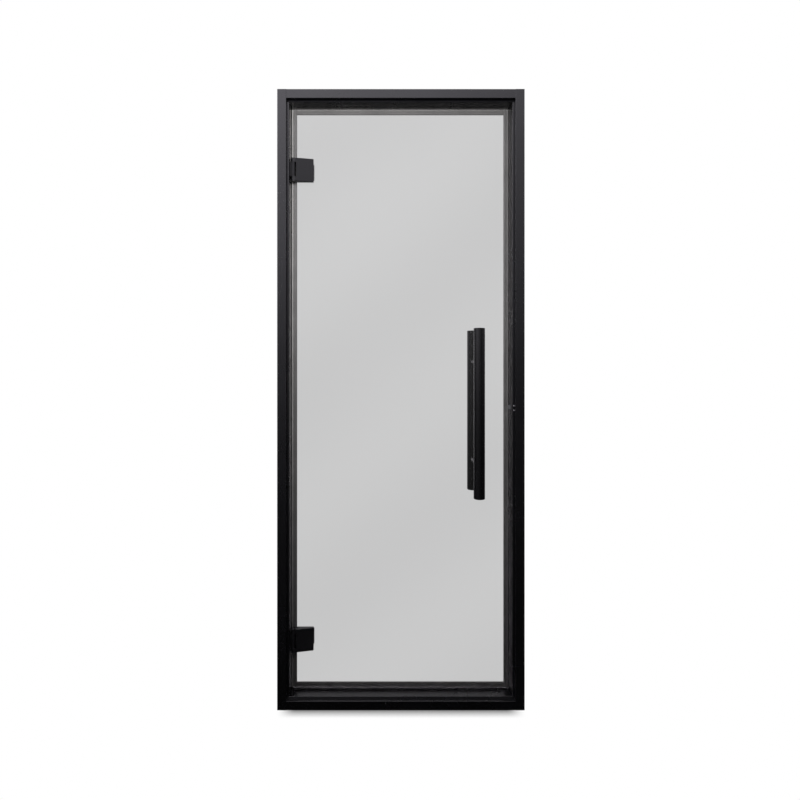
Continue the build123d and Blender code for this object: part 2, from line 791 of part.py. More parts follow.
with BuildPart() as catch_screws:
    for height in catch_screw_heights:
        riser = across_pane(half_width - catch_screw_inset, height, lip_depth)
        with BuildSketch(riser):
            Circle(catch_screw_radius)
        extrude(amount=catch_screw_length)
        with BuildSketch(riser):
            Circle(catch_screw_head_radius)
        extrude(amount=-catch_screw_head_height)
        crown = catch_screws.edges().filter_by(GeomType.CIRCLE).group_by(Axis.Y)[0]
    fillet(crown, catch_screw_head_height / 2)
save(catch_screws, "catch_screws")
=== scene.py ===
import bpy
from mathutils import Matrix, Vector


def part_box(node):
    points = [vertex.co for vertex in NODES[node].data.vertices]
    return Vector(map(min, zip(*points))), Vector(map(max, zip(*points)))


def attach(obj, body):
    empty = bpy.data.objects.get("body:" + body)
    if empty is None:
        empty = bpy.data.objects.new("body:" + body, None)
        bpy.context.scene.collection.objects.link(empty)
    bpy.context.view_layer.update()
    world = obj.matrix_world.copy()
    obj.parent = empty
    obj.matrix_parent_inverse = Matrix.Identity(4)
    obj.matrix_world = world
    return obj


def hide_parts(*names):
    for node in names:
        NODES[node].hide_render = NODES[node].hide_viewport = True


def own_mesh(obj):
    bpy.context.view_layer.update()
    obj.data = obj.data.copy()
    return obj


bl_info = {
    "name": "Framed Glass Door",
    "version": (1, 0, 0),
    "blender": (4, 5, 0),
    "location": "View3D > Sidebar > Glass Door",
    "description": "Finishes, small fittings and a plain studio for a framed glass door",
    "category": "Object",
}

import math

import bmesh
import bpy
from bpy.props import FloatProperty, FloatVectorProperty, PointerProperty
from mathutils import Matrix, Vector

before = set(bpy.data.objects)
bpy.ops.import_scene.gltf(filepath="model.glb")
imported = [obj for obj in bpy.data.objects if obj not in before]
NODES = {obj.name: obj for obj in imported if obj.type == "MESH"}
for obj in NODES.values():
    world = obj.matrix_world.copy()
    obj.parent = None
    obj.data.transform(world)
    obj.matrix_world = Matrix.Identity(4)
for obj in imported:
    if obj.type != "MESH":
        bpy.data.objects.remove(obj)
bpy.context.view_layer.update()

FRAME_RAILS = ("left_jamb", "right_jamb", "head_rail", "sill_rail")
SEALS = ("seal_left", "seal_right", "seal_head", "seal_sill")
HINGE_CASTINGS = (
    "upper_hinge_knuckle",
    "lower_hinge_knuckle",
    "upper_hinge_front_clamp",
    "lower_hinge_front_clamp",
    "upper_hinge_rear_plate",
    "lower_hinge_rear_plate",
)
HANDLE_METAL = (
    "outer_handle_bar",
    "inner_handle_bar",
    "outer_handle_caps",
    "inner_handle_caps",
    "outer_handle_posts",
    "inner_handle_posts",
)
STEEL_PARTS = (
    "corner_screws",
    "upper_hinge_pins",
    "lower_hinge_pins",
    "hinge_clamp_screws",
    "hinge_mount_screws",
    "hinge_backing_plates",
    "handle_studs",
    "catch_roller_pin",
    "catch_spring",
    "catch_screws",
)
BLACK_RUBBER = ("hinge_gaskets", "handle_washers")
NYLON_PARTS = ("hinge_bushes", "hinge_sleeves", "handle_sleeves", "catch_housing", "catch_plunger")

FRAME_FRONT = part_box("left_jamb")[0].y
FRAME_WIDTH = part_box("right_jamb")[1].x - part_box("left_jamb")[0].x
FRAME_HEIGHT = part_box("left_jamb")[1].z


def colour_prop(name, description, default):
    """A linear colour that a user can change."""
    return FloatVectorProperty(
        name=name, description=description, default=default, size=3, min=0.0, max=1.0, subtype="COLOR"
    )


def share_prop(name, description, default):
    """A plain share from 0 to 1."""
    return FloatProperty(
        name=name, description=description, default=default, min=0.0, max=1.0, subtype="FACTOR"
    )


def length_prop(name, description, default):
    """A length in metres."""
    return FloatProperty(
        name=name, description=description, default=default, subtype="DISTANCE", unit="LENGTH"
    )


class DoorFinishes(bpy.types.PropertyGroup):
    """Colours and surface values of the door's finishes."""

    coat: colour_prop("Coat", "Satin black coat of the frame", (0.0025, 0.0025, 0.0030))
    coat_roughness: share_prop("Coat roughness", "Roughness of the frame's coat", 0.26)
    casting: colour_prop("Hinge coat", "Satin black coat of the hinges", (0.002, 0.002, 0.0023))
    casting_roughness: share_prop("Hinge roughness", "Roughness of the hinge coat", 0.40)
    tube: colour_prop("Handle coat", "Satin black coat of the pull bars", (0.0016, 0.0016, 0.0018))
    tube_roughness: share_prop("Handle roughness", "Roughness of the pull bars", 0.22)
    glass: colour_prop("Glass", "Grey of the toughened glass", (0.594, 0.594, 0.596))
    glass_clear: share_prop("Glass clearness", "Share of the light that the glass lets on", 0.985)
    seal: colour_prop("Seal", "Grey of the bulb seals", (0.40, 0.388, 0.380))
    rubber: colour_prop("Gasket", "Black of the gaskets and washers", (0.012, 0.012, 0.012))
    steel: colour_prop("Steel", "Bright steel of screws and pins", (0.56, 0.56, 0.57))
    nylon: colour_prop("Nylon", "Dark nylon of bushes and catch", (0.02, 0.02, 0.021))
    roller: colour_prop("Roller", "Paler nylon of the catch roller", (0.08, 0.08, 0.084))


class DoorDetails(bpy.types.PropertyGroup):
    """Sizes of the small details."""

    edge_softness: length_prop("Edge softness", "Rounding on the edges of castings and posts", 0.0005)
    wear_reach: length_prop("Wear reach", "How far the rubbed tone reaches from an edge", 0.0012)
    # Spacing of the painted reflection streaks, slanting bands in the glass's grey
    painted_sheen_spacing: length_prop("Band spacing", "Between the faint slanting bands in the glass", 0.606)
    pan_height: length_prop("Pan head height", "Height of the heads of the catch screws", 0.0016)
    shank_radius: length_prop("Shank radius", "Radius of the catch screws inside the thread", 0.0011)
    thread_pitch: length_prop("Thread pitch", "Between the turns of the catch screws' thread", 0.0008)
    spring_wire: length_prop("Spring wire", "Radius of the wire of the catch spring", 0.0006)
    catch_travel: length_prop("Catch travel", "How far the plunger of the catch moves in", 0.004)
    recess_depth: length_prop("Recess depth", "Depth of the cross recess in a screw head", 0.0009)
    recess_width: length_prop("Recess width", "Width of one arm of the cross recess", 0.0006)


class DoorStudio(bpy.types.PropertyGroup):
    """Camera and light."""

    view_distance: length_prop("View distance", "From the camera to the front of the frame", 1.65)
    centre_column: FloatProperty(
        name="Centre column", description="Pixel column straight ahead of the camera, of 800", default=383.0
    )
    horizon_row: FloatProperty(
        name="Horizon row", description="Pixel row level with the camera, of 800", default=365.0
    )
    frame_column: FloatProperty(
        name="Frame column", description="Pixel column of the middle of the frame, of 800", default=400.9
    )
    foot_row: FloatProperty(
        name="Foot row", description="Pixel row of the foot of the frame, of 800", default=710.3
    )
    frame_pixels: FloatProperty(
        name="Frame pixels", description="Width of the frame in pixels, of 800", default=247.6
    )
    key_power: FloatProperty(
        name="Key power", description="Power of the soft lamp in front", default=16.0, unit="POWER"
    )
    sky_level: FloatProperty(
        name="Sky level", description="Strength of the soft light all round", default=0.085
    )
    # Reach of the floor's painted contact shadow
    shadow_reach: length_prop("Shadow reach", "How far the contact shadow reaches on the floor", 0.038)


PHOTO_PIXELS = 800
# Slant of the painted reflection streaks in the glass
PAINTED_SHEEN_SLANT = math.radians(38)

# Greys of the room that the front of the door mirrors, by elevation in degrees
ROOM_TONES = (
    (-70, 0.0),
    (-32, 0.01),
    (-25, 0.03),
    (-17, 0.05),
    (-9.5, 0.04),
    (-3, 0.10),
    (7, 0.54),
    (16, 0.88),
    (24, 1.45),
    (30, 3.0),
    (40, 1.2),
    (62, 0.9),
)

# Greys behind the door, seen in what faces sideways
BEHIND_TONES = (
    (-39, 0.02),
    (-26, 0.09),
    (-15, 0.34),
    (-5, 0.9),
    (3, 1.0),
    (26, 1.0),
    (38, 0.75),
    (62, 0.6),
)

# Share of the front grey by direction, from straight left at -1 to straight right at 1
ROOM_SIDES = (
    (-1.0, 1.3),
    (-0.85, 2.3),
    (-0.6, 1.9),
    (-0.1, 1.22),
    (0.32, 0.58),
    (0.7, 0.38),
    (1.0, 0.9),
)

# Soft lamp in front: where it stands, what it lights, its side in metres and how far its light fans out
KEY_PLACE = (-0.35, -1.3, 1.75)
KEY_AIM = (0.0, 0.0, 1.7)
KEY_SIDE = 0.6
LAMP_SPREAD = math.radians(112)

# Floor: half its side as a share of the frame's height, how far it lies below the frame, its grey for
# the light it gives back, and how fast the painted contact shadow fades
FLOOR_REACH = 6.0
FLOOR_DROP = 0.0003
FLOOR_GREY = (0.8, 0.8, 0.8, 1.0)
SHADOW_POWER = 2.1
SHADOW_FADE = (0.1, 1.6)

# How strongly each material bends light
COAT_IOR = 1.5
GLASS_IOR = 1.15
RUBBER_IOR = 1.45
NYLON_IOR = 1.53

# Catch screws: facets round, steps over the head's dome, and turns of the recess of the first and second
SCREW_FACETS = 32
DOME_STEPS = 6
RECESS_TURN = 20
SECOND_SCREW_TURN = 65

# Catch spring: turns, steps in one turn, facets round the wire, and how far the end turns close up
COIL_TURNS = 4
TURN_STEPS = 32
WIRE_FACETS = 12
END_CLOSING = 0.09


def settings():
    """The door's three groups of settings."""
    scene = bpy.context.scene
    return scene.door_finishes, scene.door_details, scene.door_studio


def add_node(tree, kind, place, **values):
    """A node at a place in the editor's grid, with its sockets or settings filled in."""
    node = tree.nodes.new(kind)
    node.location = (place[0] * 200, place[1] * -180)
    for key, value in values.items():
        setattr(node, key, value)
    return node


def fill(node, **values):
    """Sets a node's input sockets by name, with underscores for spaces."""
    for key, value in values.items():
        node.inputs[key.replace("_", " ")].default_value = value
    return node


def group_socket(group, name, direction, kind, default=None):
    """A named socket on a node group."""
    socket = group.interface.new_socket(name, in_out=direction, socket_type=kind)
    if default is not None:
        socket.default_value = default
    return socket


def coat_texture_group():
    """Fine pebbled skin of a sprayed coat, with a slow drift of tone."""
    group = bpy.data.node_groups.new("coat_texture", "ShaderNodeTree")
    group_socket(group, "Grain Scale", "INPUT", "NodeSocketFloat", 900.0)
    group_socket(group, "Drift Scale", "INPUT", "NodeSocketFloat", 5.0)
    group_socket(group, "Height", "OUTPUT", "NodeSocketFloat")
    group_socket(group, "Tone", "OUTPUT", "NodeSocketFloat")
    entry = add_node(group, "NodeGroupInput", (0, 0))
    leave = add_node(group, "NodeGroupOutput", (4, 0))
    place = add_node(group, "ShaderNodeTexCoord", (0, 1))
    grain = fill(add_node(group, "ShaderNodeTexNoise", (1, 0)), Detail=2.0, Roughness=0.55)
    drift = fill(add_node(group, "ShaderNodeTexNoise", (1, 1)), Detail=4.0, Roughness=0.6)
    spread = fill(add_node(group, "ShaderNodeMapRange", (2, 1)), From_Min=0.35, From_Max=0.65)
    group.links.new(place.outputs["Object"], grain.inputs["Vector"])
    group.links.new(place.outputs["Object"], drift.inputs["Vector"])
    group.links.new(entry.outputs["Grain Scale"], grain.inputs["Scale"])
    group.links.new(entry.outputs["Drift Scale"], drift.inputs["Scale"])
    group.links.new(drift.outputs["Fac"], spread.inputs["Value"])
    group.links.new(grain.outputs["Fac"], leave.inputs["Height"])
    group.links.new(spread.outputs["Result"], leave.inputs["Tone"])
    return group


def edge_wear_group():
    """Mask of the rubbed edges: where the rounded normal leaves the true one, broken up by noise."""
    group = bpy.data.node_groups.new("edge_wear", "ShaderNodeTree")
    group_socket(group, "Reach", "INPUT", "NodeSocketFloat", 0.001)
    group_socket(group, "Mask", "OUTPUT", "NodeSocketFloat")
    entry = add_node(group, "NodeGroupInput", (0, 0))
    leave = add_node(group, "NodeGroupOutput", (5, 0))
    rounded = add_node(group, "ShaderNodeBevel", (1, 0), samples=4)
    true_normal = add_node(group, "ShaderNodeNewGeometry", (1, 1))
    compare = add_node(group, "ShaderNodeVectorMath", (2, 0), operation="DOT_PRODUCT")
    turned = fill(add_node(group, "ShaderNodeMapRange", (3, 0)), From_Min=0.995, From_Max=0.80)
    place = add_node(group, "ShaderNodeTexCoord", (1, 2))
    patches = fill(add_node(group, "ShaderNodeTexNoise", (2, 2)), Scale=45.0, Detail=5.0)
    broken = add_node(group, "ShaderNodeMath", (4, 0), operation="MULTIPLY")
    group.links.new(entry.outputs["Reach"], rounded.inputs["Radius"])
    group.links.new(rounded.outputs["Normal"], compare.inputs[0])
    group.links.new(true_normal.outputs["Normal"], compare.inputs[1])
    group.links.new(compare.outputs["Value"], turned.inputs["Value"])
    group.links.new(place.outputs["Object"], patches.inputs["Vector"])
    group.links.new(turned.outputs["Result"], broken.inputs[0])
    group.links.new(patches.outputs["Fac"], broken.inputs[1])
    group.links.new(broken.outputs["Value"], leave.inputs["Mask"])
    return group


def brushed_group():
    """Fine drawn lines along one axis, as height and tone."""
    group = bpy.data.node_groups.new("brushed_lines", "ShaderNodeTree")
    group_socket(group, "Stretch", "INPUT", "NodeSocketVector", (1.0, 1.0, 0.02))
    group_socket(group, "Fineness", "INPUT", "NodeSocketFloat", 1500.0)
    group_socket(group, "Height", "OUTPUT", "NodeSocketFloat")
    group_socket(group, "Tone", "OUTPUT", "NodeSocketFloat")
    entry = add_node(group, "NodeGroupInput", (0, 0))
    leave = add_node(group, "NodeGroupOutput", (4, 0))
    place = add_node(group, "ShaderNodeTexCoord", (0, 1))
    drawn = add_node(group, "ShaderNodeVectorMath", (1, 0), operation="MULTIPLY")
    lines = fill(add_node(group, "ShaderNodeTexNoise", (2, 0)), Detail=3.0, Roughness=0.6)
    tone = fill(add_node(group, "ShaderNodeMapRange", (3, 1)), From_Min=0.3, From_Max=0.7)
    group.links.new(place.outputs["Object"], drawn.inputs[0])
    group.links.new(entry.outputs["Stretch"], drawn.inputs[1])
    group.links.new(drawn.outputs["Vector"], lines.inputs["Vector"])
    group.links.new(entry.outputs["Fineness"], lines.inputs["Scale"])
    group.links.new(lines.outputs["Fac"], tone.inputs["Value"])
    group.links.new(lines.outputs["Fac"], leave.inputs["Height"])
    group.links.new(tone.outputs["Result"], leave.inputs["Tone"])
    return group


GROUP_MAKERS = {
    "coat_texture": coat_texture_group,
    "edge_wear": edge_wear_group,
    "brushed_lines": brushed_group,
}


def place_group(tree, name, place, **values):
    """Places a shared node group in a material, building it the first time."""
    node = add_node(tree, "ShaderNodeGroup", place)
    node.node_tree = bpy.data.node_groups.get(name) or GROUP_MAKERS[name]()
    return fill(node, **values)


def new_finish(name):
    """An empty material with a Principled shader; gives the material, its tree and the shader."""
    material = bpy.data.materials.new(name)
    material.use_nodes = True
    tree = material.node_tree
    tree.nodes.clear()
    output = add_node(tree, "ShaderNodeOutputMaterial", (7, 0))
    shader = add_node(tree, "ShaderNodeBsdfPrincipled", (6, 0))
    tree.links.new(shader.outputs["BSDF"], output.inputs["Surface"])
    return material, tree, shader


def tinted(colour, factor):
    """A colour made lighter or darker, with its alpha."""
    return tuple(channel * factor for channel in colour) + (1.0,)


def mix_colours(tree, place, low, high):
    """A colour mix node between two plain colours."""
    node = add_node(tree, "ShaderNodeMix", place, data_type="RGBA")
    node.inputs["A"].default_value = low
    node.inputs["B"].default_value = high
    return node


def ranged(tree, place, source, low, high):
    """Maps a 0 to 1 value to a range."""
    node = fill(add_node(tree, "ShaderNodeMapRange", place), To_Min=low, To_Max=high)
    tree.links.new(source, node.inputs["Value"])
    return node.outputs["Result"]


def bumped(tree, place, height, shader, strength, distance):
    """Feeds a height to the shader's normal."""
    bump = fill(add_node(tree, "ShaderNodeBump", place), Strength=strength, Distance=distance)
    tree.links.new(height, bump.inputs["Height"])
    tree.links.new(bump.outputs["Normal"], shader.inputs["Normal"])


def colour_output(mix):
    """The colour socket of a mix node."""
    return next(s for s in mix.outputs if s.type == "RGBA")


def colour_inputs(mix):
    """The two colour sockets of a mix node."""
    return [s for s in mix.inputs if s.type == "RGBA"]


def coat_finish(name, colour, roughness, grain, drift, bump):
    """Satin sprayed coat: pebbled skin, drift of tone, and edges rubbed a little lighter."""
    _, details, _ = settings()
    material, tree, shader = new_finish(name)
    texture = place_group(tree, "coat_texture", (0, 0), Grain_Scale=grain, Drift_Scale=drift)
    wear = place_group(tree, "edge_wear", (0, 2), Reach=details.wear_reach)
    tone = mix_colours(tree, (2, 0), tinted(colour, 0.85), tinted(colour, 1.2))
    tree.links.new(texture.outputs["Tone"], tone.inputs["Factor"])
    rubbed = mix_colours(tree, (3, 0), tinted(colour, 1.0), tinted(colour, 3.5))
    tree.links.new(colour_output(tone), colour_inputs(rubbed)[0])
    tree.links.new(wear.outputs["Mask"], rubbed.inputs["Factor"])
    tree.links.new(colour_output(rubbed), shader.inputs["Base Color"])
    rough = ranged(tree, (3, 2), texture.outputs["Tone"], roughness * 0.92, roughness * 1.1)
    tree.links.new(rough, shader.inputs["Roughness"])
    bumped(tree, (4, 3), texture.outputs["Height"], shader, strength=bump, distance=0.0004)
    fill(shader, IOR=COAT_IOR)
    return material


def let_light_through(tree, shader, colour):
    """Lets lamp light reach what lies behind the glass, dimmed by the glass."""
    output = next(node for node in tree.nodes if node.type == "OUTPUT_MATERIAL")
    clear = fill(add_node(tree, "ShaderNodeBsdfTransparent", (6, 2)), Color=tinted(colour, 1.0))
    path = add_node(tree, "ShaderNodeLightPath", (6, 3))
    choose = add_node(tree, "ShaderNodeMixShader", (7, 1))
    output.location.x += 200
    tree.links.new(path.outputs["Is Shadow Ray"], choose.inputs["Fac"])
    tree.links.new(shader.outputs["BSDF"], choose.inputs[1])
    tree.links.new(clear.outputs["BSDF"], choose.inputs[2])
    tree.links.new(choose.outputs["Shader"], output.inputs["Surface"])


def glass_finish():
    """Grey toughened glass, with faint slanting bands of painted reflection streaks in its grey."""
    finishes, details, _ = settings()
    material, tree, shader = new_finish("grey_glass")
    place = add_node(tree, "ShaderNodeTexCoord", (0, 0))
    along = add_node(tree, "ShaderNodeVectorMath", (1, 0), operation="DOT_PRODUCT")
    turns = 2 * math.pi / details.painted_sheen_spacing
    along.inputs[1].default_value = (-turns * math.sin(PAINTED_SHEEN_SLANT), 0.0, turns * math.cos(PAINTED_SHEEN_SLANT))
    waver = fill(add_node(tree, "ShaderNodeTexNoise", (1, 1)), Scale=2.5, Detail=2.0)
    bent = add_node(tree, "ShaderNodeMath", (2, 0), operation="ADD")
    painted_sheen_wave = add_node(tree, "ShaderNodeMath", (3, 0), operation="SINE")
    level = fill(add_node(tree, "ShaderNodeMapRange", (4, 0)), From_Min=-1.0, From_Max=1.0)
    # Painted reflection: the glass's grey made a little lighter and darker in slanting streaks
    tone = mix_colours(tree, (5, 0), tinted(finishes.glass, 0.98), tinted(finishes.glass, 1.02))
    tree.links.new(place.outputs["Object"], along.inputs[0])
    tree.links.new(place.outputs["Object"], waver.inputs["Vector"])
    tree.links.new(along.outputs["Value"], bent.inputs[0])
    tree.links.new(waver.outputs["Fac"], bent.inputs[1])
    tree.links.new(bent.outputs["Value"], painted_sheen_wave.inputs[0])
    tree.links.new(painted_sheen_wave.outputs["Value"], level.inputs["Value"])
    tree.links.new(level.outputs["Result"], tone.inputs["Factor"])
    tree.links.new(colour_output(tone), shader.inputs["Base Color"])
    fill(shader, Roughness=0.0, IOR=GLASS_IOR, Transmission_Weight=finishes.glass_clear)
    let_light_through(tree, shader, finishes.glass)
    return material


def seal_finish(name, colour, roughness):
    """Soft rubber: fine matt skin with a little bloom."""
    material, tree, shader = new_finish(name)
    texture = place_group(tree, "coat_texture", (0, 0), Grain_Scale=1600.0, Drift_Scale=14.0)
    bloom = mix_colours(tree, (3, 0), tinted(colour, 0.9), tinted(colour, 1.1))
    tree.links.new(texture.outputs["Tone"], bloom.inputs["Factor"])
    tree.links.new(colour_output(bloom), shader.inputs["Base Color"])
    rough = ranged(tree, (3, 2), texture.outputs["Tone"], roughness * 0.9, min(1.0, roughness * 1.08))
    tree.links.new(rough, shader.inputs["Roughness"])
    bumped(tree, (4, 3), texture.outputs["Height"], shader, strength=0.25, distance=0.0003)
    fill(shader, IOR=RUBBER_IOR)
    return material


def steel_finish():
    """Bright turned steel with fine drawn lines."""
    finishes, _, _ = settings()
    material, tree, shader = new_finish("bright_steel")
    lines = place_group(tree, "brushed_lines", (0, 0), Stretch=(0.05, 1.0, 1.0), Fineness=2200.0)
    tone = mix_colours(tree, (3, 0), tinted(finishes.steel, 0.9), tinted(finishes.steel, 1.08))
    tree.links.new(lines.outputs["Tone"], tone.inputs["Factor"])
    tree.links.new(colour_output(tone), shader.inputs["Base Color"])
    rough = ranged(tree, (3, 2), lines.outputs["Tone"], 0.2, 0.34)
    tree.links.new(rough, shader.inputs["Roughness"])
    bumped(tree, (4, 3), lines.outputs["Height"], shader, strength=0.1, distance=0.0001)
    fill(shader, Metallic=1.0)
    return material


def nylon_finish(name, colour):
    """Moulded nylon with a fine spark-eroded grain."""
    material, tree, shader = new_finish(name)
    texture = place_group(tree, "coat_texture", (0, 0), Grain_Scale=2400.0, Drift_Scale=20.0)
    tone = mix_colours(tree, (3, 0), tinted(colour, 0.9), tinted(colour, 1.15))
    tree.links.new(texture.outputs["Tone"], tone.inputs["Factor"])
    tree.links.new(colour_output(tone), shader.inputs["Base Color"])
    rough = ranged(tree, (3, 2), texture.outputs["Tone"], 0.42, 0.55)
    tree.links.new(rough, shader.inputs["Roughness"])
    bumped(tree, (4, 3), texture.outputs["Height"], shader, strength=0.3, distance=0.0002)
    fill(shader, IOR=NYLON_IOR)
    return material


def dress(names, material):
    """Gives CAD nodes a finish."""
    for name in names:
        mesh = NODES[name].data
        mesh.materials.clear()
        mesh.materials.append(material)


def soften(names, width):
    """Small rounded edges on CAD nodes, as a modifier."""
    for name in names:
        bevel = NODES[name].modifiers.new("soft_edges", "BEVEL")
        bevel.width = width
        bevel.segments = 2
        bevel.limit_method = "ANGLE"
        bevel.angle_limit = math.radians(50)
        bevel.harden_normals = True


class DOOR_OT_coat_frame(bpy.types.Operator):
    """Satin black coat on the rails of the frame"""

    bl_idname = "door.coat_frame"
    bl_label = "Coat Frame"

    def execute(self, context):
        finishes, _, _ = settings()
        coat = coat_finish(
            "frame_coat", finishes.coat, finishes.coat_roughness, grain=1100.0, drift=4.0, bump=0.05
        )
        dress(FRAME_RAILS, coat)
        return {"FINISHED"}


class DOOR_OT_finish_hinges(bpy.types.Operator):
    """Satin black coat and soft edges on the hinges"""

    bl_idname = "door.finish_hinges"
    bl_label = "Finish Hinges"

    def execute(self, context):
        finishes, details, _ = settings()
        coat = coat_finish(
            "hinge_coat", finishes.casting, finishes.casting_roughness, grain=800.0, drift=18.0, bump=0.18
        )
        dress(HINGE_CASTINGS, coat)
        soften(HINGE_CASTINGS, details.edge_softness)
        return {"FINISHED"}


class DOOR_OT_finish_handle(bpy.types.Operator):
    """Satin black coat on the pull bars, caps and posts"""

    bl_idname = "door.finish_handle"
    bl_label = "Finish Handle"

    def execute(self, context):
        finishes, _, _ = settings()
        coat = coat_finish(
            "handle_coat", finishes.tube, finishes.tube_roughness, grain=1300.0, drift=9.0, bump=0.1
        )
        dress(HANDLE_METAL, coat)
        return {"FINISHED"}


class DOOR_OT_glaze(bpy.types.Operator):
    """Grey glass in the leaf"""

    bl_idname = "door.glaze"
    bl_label = "Glaze"

    def execute(self, context):
        dress(("glass_pane",), glass_finish())
        return {"FINISHED"}


class DOOR_OT_finish_seals(bpy.types.Operator):
    """Rubber of the bulb seals, gaskets and washers"""

    bl_idname = "door.finish_seals"
    bl_label = "Finish Seals"

    def execute(self, context):
        finishes, _, _ = settings()
        dress(SEALS, seal_finish("seal_rubber", finishes.seal, roughness=0.62))
        dress(BLACK_RUBBER, seal_finish("gasket_rubber", finishes.rubber, roughness=0.7))
        return {"FINISHED"}


class DOOR_OT_finish_fittings(bpy.types.Operator):
    """Steel and nylon of the small fittings"""

    bl_idname = "door.finish_fittings"
    bl_label = "Finish Fittings"

    def execute(self, context):
        finishes, _, _ = settings()
        dress(STEEL_PARTS, steel_finish())
        dress(NYLON_PARTS, nylon_finish("dark_nylon", finishes.nylon))
        dress(("catch_roller",), nylon_finish("roller_nylon", finishes.roller))
        return {"FINISHED"}


def turned_shape(profile, segments):
    """A closed turned shape round Y from radius and height pairs that start and end on the axis."""
    shape = bmesh.new()
    rings = []
    for radius, along in profile:
        if radius == 0.0:
            rings.append([shape.verts.new((0.0, along, 0.0))] * segments)
            continue
        turns = [2 * math.pi * step / segments for step in range(segments)]
        places = [(radius * math.cos(turn), along, radius * math.sin(turn)) for turn in turns]
        rings.append([shape.verts.new(place) for place in places])
    for low, high in zip(rings, rings[1:]):
        for step in range(segments):
            follow = (step + 1) % segments
            corners = (low[step], low[follow], high[follow], high[step])
            shape.faces.new(list(dict.fromkeys(corners)))
    bmesh.ops.recalc_face_normals(shape, faces=shape.faces)
    return shape


def screw_profile(head_radius, length, details):
    """Outline of a pan-head screw from the top of its head to its tip, along Y from under the head."""
    profile = []
    for step in range(DOME_STEPS + 1):
        angle = math.radians(90) * step / DOME_STEPS
        profile.append((
            head_radius * math.sin(angle) ** 0.7,
            -details.pan_height * (0.35 + 0.65 * math.cos(angle)),
        ))
    profile.append((head_radius, 0.0))
    profile.append((details.shank_radius, 0.0))
    crest = details.shank_radius * 1.25
    turns = int((length - 3 * details.thread_pitch) / details.thread_pitch)
    for turn in range(1, turns + 1):
        start = turn * details.thread_pitch
        profile.append((details.shank_radius, start))
        profile.append((crest, start + 0.5 * details.thread_pitch))
    profile.append((details.shank_radius, (turns + 1) * details.thread_pitch))
    profile.append((0.0, length))
    return profile


def cross_cutter(head_radius, details):
    """Two tapered bars crossed, that cut a screw's recess."""
    shape = bmesh.new()
    reach = 0.68 * head_radius
    for turn in (0, 90):
        made = bmesh.ops.create_cube(shape, size=2.0)["verts"]
        for vert in made:
            taper = 1.0 if vert.co.y < 0 else 0.45
            vert.co.x *= reach * taper
            vert.co.z *= 0.5 * details.recess_width * (0.6 + 0.4 * taper)
            vert.co.y *= details.recess_depth
        matrix = Matrix.Rotation(math.radians(turn + RECESS_TURN), 3, "Y")
        bmesh.ops.rotate(shape, verts=made, cent=(0, 0, 0), matrix=matrix)
    return shape


def mesh_object(name, shape):
    """A linked object from a shape in the making."""
    mesh = bpy.data.meshes.new(name)
    shape.to_mesh(mesh)
    shape.free()
    obj = bpy.data.objects.new(name, mesh)
    bpy.context.scene.collection.objects.link(obj)
    return obj


def shade_by_angle(obj, degrees):
    """Smooth shading with sharp edges kept."""
    mesh = obj.data
    mesh.shade_smooth()
    mesh.set_sharp_from_angle(angle=math.radians(degrees))


def cut_out(target, cutter):
    """Cuts one object out of another for good, and removes the cutter."""
    cut = target.modifiers.new("recess", "BOOLEAN")
    cut.operation = "DIFFERENCE"
    cut.solver = "EXACT"
    cut.use_self = True
    cut.object = cutter
    seen = target.evaluated_get(bpy.context.evaluated_depsgraph_get())
    cut_mesh = bpy.data.meshes.new_from_object(seen)
    target.modifiers.remove(cut)
    target.data = cut_mesh
    bpy.data.objects.remove(cutter)


def pan_screw(name, head_radius, length, details):
    """One cross-recessed pan-head screw along Y, with the seat under its head at the origin."""
    profile = screw_profile(head_radius, length, details)
    screw = mesh_object(name, turned_shape(profile, SCREW_FACETS))
    cutter = mesh_object(name + "_cutter", cross_cutter(head_radius, details))
    cutter.location.y = -details.pan_height
    bpy.context.view_layer.update()
    cut_out(screw, cutter)
    return screw


def catch_screw_pair(details):
    """Both screws of the catch as one piece, where the solids are."""
    low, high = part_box("catch_screws")
    head_radius = (high.x - low.x) / 2
    seat = low.y + details.pan_height
    middle = (low.x + high.x) / 2
    pair = bmesh.new()
    for number, height in enumerate((low.z + head_radius, high.z - head_radius)):
        screw = pan_screw("catch_screw_making", head_radius, high.y - seat, details)
        screw.data.transform(Matrix.Rotation(math.radians(SECOND_SCREW_TURN * number), 4, "Y"))
        screw.data.transform(Matrix.Translation((middle, seat, height)))
        pair.from_mesh(screw.data)
        bpy.data.objects.remove(screw)
    return mesh_object("catch_pan_screws", pair)


class DOOR_OT_add_catch_screws(bpy.types.Operator):
    """Cross-recessed pan-head screws that hold the roller catch"""

    bl_idname = "door.add_catch_screws"
    bl_label = "Add Catch Screws"

    def execute(self, context):
        _, details, _ = settings()
        screws = catch_screw_pair(details)
        shade_by_angle(screws, degrees=35)
        screws.data.materials.append(bpy.data.materials["bright_steel"])
        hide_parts("catch_screws")
        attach(screws, "frame")
        return {"FINISHED"}


